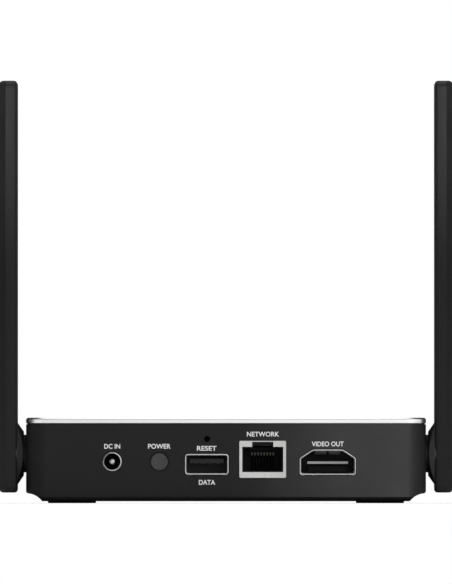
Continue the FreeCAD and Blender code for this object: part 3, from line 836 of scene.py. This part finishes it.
@dataclass
class PowerEntry:
    """The DC socket and the push button beside it."""

    finishes: Finishes
    mouth: float = 2.72 * MM
    lip: float = 0.1 * MM
    pin_round: float = 0.45 * MM
    cap_radius: float = 2.98 * MM
    cap_flange: Range = (2.1 * MM, 3.1 * MM)
    # Round the cap's edge: how far in from the side and down from the front, in millimetres.
    cap_edge: Steps = ((0.0, 0.45), (0.06, 0.22), (0.2, 0.07), (0.42, 0.0), (0.8, 0.02))
    # Across its dish: the share of the radius, and how far down, in millimetres.
    cap_dish: Steps = ((0.5, 0.12), (0.2, 0.16), (0.0, 0.17))
    wire: float = 0.18 * MM
    wire_sides: int = 8
    turns: int = 5
    turn_steps: int = 28
    pressed: float = 0.77

    def build(self) -> None:
        """Makes and dresses the pieces."""
        self.sleeve()
        self.pin()
        self.cap()
        self.spring()
        f = self.finishes
        dress(["power_jack_body", "power_switch_body", "reset_switch_body"], f.insert)
        dress(["power_switch_slider"], f.natural)
        # The plunger's near-black finish is painted shade that darkens the reset hole.
        dress(["reset_plunger"], f.plunger)
        dress(["reset_board"], f.board)

    def axis_of(self, node: str) -> tuple[float, float, Point]:
        """A round node's radius, its length, and the back end of its axis."""
        low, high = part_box(node)
        return (high.x - low.x) / 2, high.y - low.y, ((low.x + high.x) / 2, low.y, (low.z + high.z) / 2)

    def sleeve(self) -> None:
        """The metal sleeve, with a rolled mouth."""
        outer, length, centre = self.axis_of("power_jack_sleeve")
        inner, lip = self.mouth, self.lip
        profile = [
            (inner, 0.0), (inner, length - 2 * lip), (inner + 0.3 * lip, length - 0.6 * lip),
            (inner + lip, length), (outer - 0.6 * lip, length), (outer - 0.15 * lip, length - 0.3 * lip),
            (outer, length - lip), (outer, 0.0),
        ]
        bm = turned(profile, centre, Axis.Y, closed=True)
        finished("power_sleeve", bm, self.finishes.steel, "root", ("power_jack_sleeve",))

    def pin(self) -> None:
        """The centre pin, with a rounded tip."""
        radius, length, centre = self.axis_of("power_jack_pin")
        tip = self.pin_round
        dome = [(radius - tip + tip * math.cos(a), length - tip + tip * math.sin(a))
                for a in (math.radians(d) for d in range(0, 91, 15))]
        bm = turned([(0.0, 0.0), (radius, 0.0), *dome, (0.0, length)], centre, Axis.Y, 40)
        finished("power_pin", bm, self.finishes.steel, "root", ("power_jack_pin",))

    def cap(self) -> None:
        """The button's cap: a softened edge and a shallow dish."""
        flange, length, centre = self.axis_of("power_button")
        radius = self.cap_radius
        back, front = self.cap_flange
        profile = [
            (0.0, 0.0), (radius, 0.0), (radius, back), (flange, back), (flange, front), (radius, front),
            *((radius - inward * MM, length - down * MM) for inward, down in self.cap_edge),
            *((share * radius, length - down * MM) for share, down in self.cap_dish),
        ]
        bm = turned(profile, centre, Axis.Y)
        finished("power_cap", bm, self.finishes.button, "power_button", ("power_button",))

    def spring(self) -> None:
        """The coil behind the cap."""
        reach, length, centre = self.axis_of("power_button_spring")
        coil = reach - self.wire
        steps = self.turn_steps * self.turns
        rise = (length - 2 * self.wire) / steps
        bm = bmesh.new()
        ring = bmesh.ops.create_circle(bm, cap_ends=True, segments=self.wire_sides, radius=self.wire)["verts"]
        bmesh.ops.rotate(bm, cent=(0, 0, 0), matrix=Matrix.Rotation(math.pi / 2, 3, "X"), verts=ring)
        bmesh.ops.translate(bm, vec=(coil, 0, self.wire), verts=ring)
        bmesh.ops.spin(bm, geom=bm.verts[:] + bm.edges[:] + bm.faces[:], cent=(0, 0, 0), axis=(0, 0, 1),
                       dvec=(0, 0, rise), angle=2 * math.pi * self.turns, steps=steps, use_merge=False,
                       use_duplicate=False)
        bmesh.ops.rotate(bm, cent=(0, 0, 0), matrix=Axis.Y.value, verts=bm.verts)
        bmesh.ops.translate(bm, vec=Vector(centre), verts=bm.verts)
        piece = finished("power_spring", bm, self.finishes.steel, "root",
                         ("power_button_spring",))
        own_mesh(piece)


@dataclass
class Sockets:
    """The data, network and video sockets."""

    finishes: Finishes
    data_height: float = 6.9 * MM
    data_corner: float = 1.0 * MM
    sheet: float = 0.42 * MM
    back_wall: float = 0.4 * MM
    rim_round: float = 0.08 * MM
    video_sheet: float = 0.38 * MM
    video_corner: float = 0.6 * MM
    video_narrow: float = 5.05 * MM
    video_height: float = 8.46 * MM
    video_shoulder: float = 5.6 * MM
    leg_half: float = 0.75 * MM
    leg_corner: float = 0.12 * MM
    leg_overlap: float = 0.2 * MM
    leg_inset: float = 1.0 * MM
    leg_rows: Range = (55.5 * MM, 60.5 * MM)
    strip: float = 0.12 * MM
    # Along a sprung strip: how far each bend lies behind the face and below the top, in millimetres.
    finger_bends: Steps = ((0.35, 0.0), (1.4, 0.45), (2.6, 1.05), (3.4, 1.15), (4.6, 0.7))
    finger_drop: float = 0.1 * MM
    finger_width: float = 3.9 * MM
    finger_offset: float = 2.3 * MM
    latch_bends: Steps = ((2.4, -0.05), (0.95, 0.0), (0.85, 0.15), (0.9, 0.75), (1.2, 0.95))
    latch_drop: float = 0.62 * MM
    latch_width: float = 5.6 * MM

    def build(self) -> None:
        """Makes and dresses the sockets."""
        f = self.finishes
        self.data_shell()
        self.video_shell()
        self.video_springs()
        self.latch_spring()
        dress(["network_insert", "video_insert"], f.insert)
        dress(["usb_tongue"], f.blade)
        dress(["video_tongue"], f.tongue)
        dress(["network_shell"], f.steel)
        # The contacts' dark metal is painted shade for the socket cavities.
        dress(["usb_contacts", "network_contacts", "video_contacts"], f.wire)
        dress(["network_transformer"], f.chip)

    def data_shell(self) -> None:
        """The folded steel shell, with a rounded rim and its board tabs."""
        low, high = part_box("usb_shell")
        foot = low.z
        low.z = high.z - self.data_height
        bm = block(low, high)
        bevel(bm, edges_along(bm, ALONG_Y), self.data_corner, 8)
        self.open_shell(bm, low, high, foot, self.sheet)
        finished("data_shell", bm, self.finishes.steel, "root", ("usb_shell",))

    def open_shell(self, bm: Shape, low: Vector, high: Vector, foot: float, sheet: float) -> None:
        """Hollows a shell from its face, rounds the rim and adds the four legs to the board.

        Args:
            bm: The solid shell.
            low: Its low corner.
            high: Its high corner.
            foot: The z of the legs' feet.
            sheet: The thickness of its sheet.
        """
        hollow(bm, ALONG_Y, high.y, sheet, -(high.y - low.y - self.back_wall))
        bevel(bm, rim_at(bm, ALONG_Y, high.y), self.rim_round, 2)
        half, top = self.leg_half, low.z + self.leg_overlap
        for x in (low.x + self.leg_inset, high.x - self.leg_inset):
            for y in self.leg_rows:
                leg = block(Vector((x - half, y - half, foot)), Vector((x + half, y + half, top)))
                bevel(leg, edges_along(leg, ALONG_Z), self.leg_corner, 2)
                join(bm, leg)

    def video_shell(self) -> None:
        """The video socket's folded shell, narrow side up, with a rounded rim."""
        low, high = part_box("video_shell")
        foot = low.z
        low.z = high.z - self.video_height
        middle = (low.x + high.x) / 2
        shoulder = low.z + self.video_shoulder
        outline = ((low.x, low.z), (high.x, low.z), (high.x, shoulder), (middle + self.video_narrow, high.z),
                   (middle - self.video_narrow, high.z), (low.x, shoulder))
        bm = prism([(x, low.y, z) for x, z in outline], Vector((0, high.y - low.y, 0)))
        bevel(bm, edges_along(bm, ALONG_Y), self.video_corner, 5)
        self.open_shell(bm, low, high, foot, self.video_sheet)
        finished("video_rim", bm, self.finishes.steel, "root", ("video_shell",))

    def bent_strip(self, bends: Steps, start: Vector, width: float) -> Shape:
        """A thin sprung strip.

        Args:
            bends: How far each bend lies behind the start and below it, in millimetres.
            start: The strip's middle in x, its face in y and its top in z.
            width: Its width along x.

        Returns:
            The strip.
        """
        bm = bmesh.new()
        side = start.x - width / 2
        verts = [bm.verts.new((side, start.y - back * MM, start.z - down * MM)) for back, down in bends]
        edges = [bm.edges.new(pair) for pair in zip(verts, verts[1:])]
        swept = bmesh.ops.extrude_edge_only(bm, edges=edges)
        bmesh.ops.translate(bm, vec=(width, 0, 0), verts=made_verts(swept))
        bmesh.ops.recalc_face_normals(bm, faces=bm.faces)
        bmesh.ops.solidify(bm, geom=bm.faces[:], thickness=self.strip)
        return bm

    def video_springs(self) -> None:
        """Two sprung fingers under the video shell's roof."""
        low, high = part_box("video_shell")
        start = Vector(((low.x + high.x) / 2, high.y, high.z - self.video_sheet - self.finger_drop))
        aside = Vector((self.finger_offset, 0, 0))
        bm = self.bent_strip(self.finger_bends, start - aside, self.finger_width)
        join(bm, self.bent_strip(self.finger_bends, start + aside, self.finger_width))
        finished("video_spring_fingers", bm, self.finishes.spring, "root")

    def latch_spring(self) -> None:
        """The sprung earthing strip in the network socket's latch notch."""
        low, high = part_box("network_shell")
        start = Vector(((low.x + high.x) / 2, high.y, high.z - self.latch_drop))
        bm = self.bent_strip(self.latch_bends, start, self.latch_width)
        finished("network_latch_strip", bm, self.finishes.spring, "root")


@dataclass
class Antenna:
    """One folding antenna: its two shells and what they hold."""

    finishes: Finishes
    side: Side
    corner: float = 2.6 * MM
    bevel_inset: float = 2.4 * MM
    edge_round: float = 0.3 * MM
    inner_round: float = 1.15 * MM
    end_round: float = 1.6 * MM
    wall: float = 1.3 * MM
    floor: float = 1.4 * MM
    cover_step: float = 0.6 * MM
    cover_depth: float = 0.8 * MM
    ridge_turn: Range = (0.6, 1.0)  # in radians, between the cover's face and its bevels
    bore: float = 5.02 * MM
    hub_height: float = 2.1 * MM
    hub_radius: float = 10.5 * MM
    hub_tip: float = 7.6 * MM
    tip_chamfer: Range = (0.25 * MM, 0.2 * MM)
    neck_radius: float = 6.3 * MM
    neck_edge: float = 0.1 * MM
    neck_end: float = 2.8 * MM
    # Down the cone and into the paddle: from the hub's radius and from the paddle's face, in millimetres.
    hub_foot: Steps = ((-0.75, -0.42), (-0.35, -0.18), (0.0, 0.1), (0.25, 0.4), (0.4, 0.8), (0.47, 1.2))

    def build(self) -> None:
        """Makes and dresses the antenna's pieces."""
        f = self.finishes
        self.inner_shell()
        self.hub()
        self.outer_cover()
        dress([self.node("element")], f.board)
        dress([self.node("barrel"), self.node("washer"), self.node("clip")], f.hinge)
        dress([self.node("coax")], f.jacket)

    def node(self, part: str) -> str:
        """The full name of one of this antenna's CAD nodes."""
        return f"{self.side.body}_{part}"

    def reach(self, node: str) -> tuple[Vector, Vector, float, float]:
        """Measures one of this antenna's nodes.

        Args:
            node: The node's part of the name.

        Returns:
            Its low corner, its high corner, and its x nearest to the case and farthest from it.
        """
        low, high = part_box(self.node(node))
        if self.side is Side.RIGHT:
            return low, high, low.x, high.x
        return low, high, high.x, low.x

    def inner_shell(self) -> None:
        """The half beside the case, hollowed, with a soft edge round its face."""
        low, high, neck, split = self.reach("inner_shell")
        face = neck + self.side.value * self.neck_end
        bm = block(Vector((min(face, split), low.y, low.z)), Vector((max(face, split), high.y, high.z)))
        bevel(bm, edges_along(bm, ALONG_X), self.corner, 6)
        hollow(bm, ALONG_X, split, self.wall, -self.side.value * (abs(split - face) - self.floor))
        bevel(bm, rim_at(bm, ALONG_X, face), self.inner_round, 5)
        finished(self.side.body + "_inner_half", bm, self.finishes.antenna, self.side.body,
                 (self.node("inner_shell"),))

    def hub(self) -> None:
        """The round hub with its cone and neck, run softly into the paddle's face."""
        neck = self.reach("inner_shell")[2]
        low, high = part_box(self.node("barrel"))
        middle = (neck, (low.y + high.y) / 2, (low.z + high.z) / 2)
        bm = turned(self.hub_profile(), middle, Axis.X, 96, closed=True)
        finished(self.side.body + "_hub", bm, self.finishes.antenna, self.side.body)

    def hub_profile(self) -> list[tuple[float, float]]:
        """The hub's outline: neck, shoulder, cone, and a soft run into the paddle.

        Returns:
            The radius and the distance from the neck's end of each corner.
        """
        neck, face = self.neck_radius, self.neck_end
        tip, bottom = face - self.hub_height, face + self.floor
        inward, along = self.tip_chamfer
        foot = [(self.hub_radius + out * MM, face + deep * MM) for out, deep in self.hub_foot]
        outline = [
            (self.bore, 0.0), (neck - self.neck_edge, 0.0), (neck, self.neck_edge), (neck, tip),
            (self.hub_tip - inward, tip), (self.hub_tip, tip + along), *foot, (foot[-1][0], bottom),
            (self.bore, bottom),
        ]
        return [(radius, distance * self.side.value) for radius, distance in outline]

    def outer_cover(self) -> None:
        """The outside half, with a broad bevel along both edges and rounded ends."""
        low, high, split, face = self.reach("outer_cover")
        inset = self.bevel_inset
        section = ((split, low.y), (split, high.y), (face, high.y - inset), (face, low.y + inset))
        bm = prism([(x, y, low.z) for x, y in section], Vector((0, 0, high.z - low.z)))
        ends = [e for e in edges_at(bm, ALONG_Z, low.z) + edges_at(bm, ALONG_Z, high.z)
                if not all(abs(v.co.x - split) < FACE_ON_PLANE for v in e.verts)]
        bevel(bm, ends, self.end_round, 6)
        least, most = self.ridge_turn
        bevel(bm, [e for e in bm.edges if least < e.calc_face_angle(0.0) < most], self.edge_round, 3)
        hollow(bm, ALONG_X, split, self.wall + self.cover_step, self.side.value * self.cover_depth)
        finished(self.side.body + "_outer_half", bm, self.finishes.antenna, self.side.body,
                 (self.node("outer_cover"),))


@dataclass
class Electronics:
    """The boards and what they carry, inside the case."""

    finishes: Finishes

    def build(self) -> None:
        """Dresses the board's parts."""
        f = self.finishes
        dress(["main_board", "wifi_module"], f.board)
        dress(["board_screws", "wifi_shield", "crystal"], f.tin)
        dress(["processor", "memory_chips", "flash_chip"], f.chip)
        dress(["thermal_pad"], f.pad)
        dress(["heat_sink"], f.fins)
        dress(["antenna_connectors"], f.gold)
        dress(["coax_left", "coax_right"], f.jacket)
        dress(["inductors"], f.ferrite)
        dress(["capacitors"], f.can)
        dress(["status_led", "light_pipe"], f.clear)
        dress(["ir_receiver"], f.window)


# ---- stage
# The camera looks at the back wall, so a light named left serves the player's +x side.

CAPTION_PIECES = ("caption_dc_in", "caption_power", "caption_reset", "caption_data", "caption_network",
                  "caption_video_out")
ANTENNA_HALVES = tuple(f"{side.body}_{half}_half" for side in Side for half in ("inner", "outer"))


@dataclass(frozen=True)
class Softbox:
    """A rectangular soft light, how bright its face looks, and what it is flagged to."""

    name: str
    place: Point
    target: Point
    size: tuple[float, float]
    radiance: float
    lights: tuple[str, ...] = ()

    def build(self) -> None:
        """Hangs the light."""
        lamp = bpy.data.lights.new(self.name, "AREA")
        lamp.shape = "RECTANGLE"
        lamp.size, lamp.size_y = self.size
        lamp.energy = self.radiance * math.pi * self.size[0] * self.size[1]
        hang(lamp, self.place, self.target, self.lights)


@dataclass(frozen=True)
class FeatheredSpot:
    """A soft-edged round beam, flagged off everything but the pieces that it is for."""

    name: str
    place: Point
    target: Point
    reach: float
    strength: float
    lights: tuple[str, ...]
    bulb: float = 10 * MM

    def build(self) -> None:
        """Hangs the light and chooses what it reaches."""
        lamp = bpy.data.lights.new(self.name, "SPOT")
        distance = (Vector(self.target) - Vector(self.place)).length
        lamp.energy = self.strength * 4 * math.pi * math.pi * distance * distance
        lamp.spot_size = 2 * math.atan(self.reach / distance)
        lamp.spot_blend = 1.0
        lamp.shadow_soft_size = self.bulb
        hang(lamp, self.place, self.target, self.lights)


def hang(lamp: bpy.types.Light, place: Point, target: Point, pieces: tuple[str, ...]) -> None:
    """Puts a light in the scene.

    Args:
        lamp: The light.
        place: Where it hangs.
        target: What it points at.
        pieces: The only pieces that it lights, or nothing if it lights everything.
    """
    holder = linked(lamp.name, lamp)
    holder.location = place
    holder.rotation_euler = (Vector(target) - Vector(place)).to_track_quat("-Z", "Y").to_euler()
    holder.visible_camera = False
    if pieces:
        group = bpy.data.collections.new(lamp.name)
        for name in pieces:
            group.objects.link(bpy.data.objects[name])
        holder.light_linking.receiver_collection = group


@dataclass
class Studio:
    """A plain pale floor, soft light, and a camera low down, square to the sockets."""

    floor_radius: float = 1.5
    floor_fade: Range = (0.45, 0.98)
    floor_grey: float = 0.8
    floor_roughness: float = 0.9
    floor_specular: float = 0.1
    fill: float = 0.04
    lens: float = 1000.0
    sensor: float = 36.0
    clip_end: float = 200.0
    view_height: float = 194.0 * MM
    camera_height: float = 0.2 * MM
    aim_height: float = 70.13 * MM
    softboxes: tuple[Softbox, ...] = (
        Softbox("front_box", (-0.65, 2.2, 0.5), (0.0, 0.0, 0.06), (1.8, 1.2), 1.45),
        Softbox("overhead_box", (0.0, -0.35, 1.7), (0.0, -0.1, 0.0), (1.3, 1.3), 2.2),
        Softbox("left_box", (1.5, -1.7, 0.9), (0.0, 0.0, 0.05), (1.2, 1.0), 1.2),
        Softbox("right_box", (-1.5, -1.7, 0.9), (0.0, 0.0, 0.05), (1.2, 1.0), 1.2),
        Softbox("left_plate_box", (1.5, 1.7, 0.45), (0.0, 0.0, 0.03), (2.6, 1.0), 1.15, ("top_plate_skin",)),
        Softbox("right_plate_box", (-2.0, 1.0, 0.45), (0.0, 0.0, 0.03), (2.6, 1.0), 1.1, ("top_plate_skin",)),
        Softbox("plate_roof_box", (-1.2, 1.3, 1.1), (0.0, 0.0, 0.03), (1.8, 1.2), 0.45, ("top_plate_skin",)),
        Softbox("caption_box", (0.0, 2.0, 0.4), (0.0, 0.066, 0.02), (1.2, 0.8), 6.0, CAPTION_PIECES),
        Softbox("floor_box", (0.0, 0.0, 2.4), (0.0, 0.0, 0.0), (2.6, 2.6), 1.3, ("floor",)),
    )
    spots: tuple[FeatheredSpot, ...] = (
        FeatheredSpot("wall_spot", (-0.15, 1.9, 0.25), (-0.075, 0.0665, 0.012), 0.073, 0.4, ("housing",)),
        FeatheredSpot("left_tip_spot", (0.5, 1.7, 0.5), (0.071, 0.06, 0.16), 0.084, 0.5, ANTENNA_HALVES),
        FeatheredSpot("right_tip_spot", (-0.5, 1.7, 0.5), (-0.071, 0.06, 0.16), 0.084, 0.5, ANTENNA_HALVES),
        FeatheredSpot("left_hub_spot", (-0.9, 1.6, 0.25), (0.068, 0.062, 0.015), 0.022, 0.8,
                      ("antenna_right_hub",)),
        FeatheredSpot("right_hub_spot", (0.9, 1.6, 0.25), (-0.068, 0.062, 0.015), 0.022, 1.3,
                      ("antenna_left_hub",)),
    )

    def build(self) -> None:
        """Makes the floor, lights, surroundings and camera."""
        self.camera()
        self.floor()
        self.surroundings()
        for light in self.softboxes + self.spots:
            light.build()
        bpy.context.scene.view_settings.view_transform = "Standard"

    def camera(self) -> None:
        """Looks at the sockets from behind, from far off."""
        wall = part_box("housing")[1].y
        data = bpy.data.cameras.new("camera")
        data.lens = self.lens
        data.sensor_width = self.sensor
        data.clip_end = self.clip_end
        holder = linked("camera", data)
        away = self.view_height * self.lens / self.sensor
        holder.location = (0.0, wall + away, self.camera_height)
        sight = Vector((0.0, wall, self.aim_height)) - holder.location
        holder.rotation_euler = sight.to_track_quat("-Z", "Y").to_euler()
        bpy.context.scene.camera = holder

    def floor(self) -> None:
        """A round pale floor that fades into the surroundings."""
        bm = bmesh.new()
        bmesh.ops.create_circle(bm, cap_ends=True, segments=96, radius=self.floor_radius)
        mesh = bpy.data.meshes.new("floor")
        bm.to_mesh(mesh)
        bm.free()
        nodes = NodeBuilder("floor_paper")
        put(nodes.surface, {"Base Color": (*[self.floor_grey] * 3, 1.0), "Roughness": self.floor_roughness,
                            "Specular IOR Level": self.floor_specular})
        out = nodes.add("ShaderNodeVectorMath", operation="LENGTH")
        nodes.link(nodes.place, "Object", out, "Vector")
        start, end = self.floor_fade
        edge = (start * self.floor_radius, end * self.floor_radius)
        fade = nodes.remap(out, "Value", edge, (1.0, 0.0), interpolation_type="SMOOTHSTEP")
        nodes.link(fade, "Result", nodes.surface, "Alpha")
        mesh.materials.append(nodes.material)
        holder = linked("floor", mesh)

    def surroundings(self) -> None:
        """A white surround to look at, which gives only a dim even light."""
        world = bpy.data.worlds.new("studio")
        world.use_nodes = True
        tree = world.node_tree
        tree.nodes.clear()
        output = tree.nodes.new("ShaderNodeOutputWorld")
        mix = tree.nodes.new("ShaderNodeMixShader")
        path = tree.nodes.new("ShaderNodeLightPath")
        tree.links.new(path.outputs["Is Camera Ray"], mix.inputs["Fac"])
        for socket, strength in ((1, self.fill), (2, 1.0)):
            white = tree.nodes.new("ShaderNodeBackground")
            put(white, {"Color": (1.0, 1.0, 1.0, 1.0), "Strength": strength})
            tree.links.new(white.outputs["Background"], mix.inputs[socket])
        tree.links.new(mix.outputs["Shader"], output.inputs["Surface"])
        bpy.context.scene.world = world


def main() -> None:
    """Builds the looks in order."""
    logging.basicConfig(level=logging.INFO, format="%(message)s")
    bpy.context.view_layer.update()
    finishes = Finishes()
    Case(finishes).build()
    Captions(finishes).build()
    PowerEntry(finishes).build()
    Sockets(finishes).build()
    Electronics(finishes).build()
    for side in Side:
        Antenna(finishes, side).build()
    Studio().build()


if __name__ == "__main__":
    main()
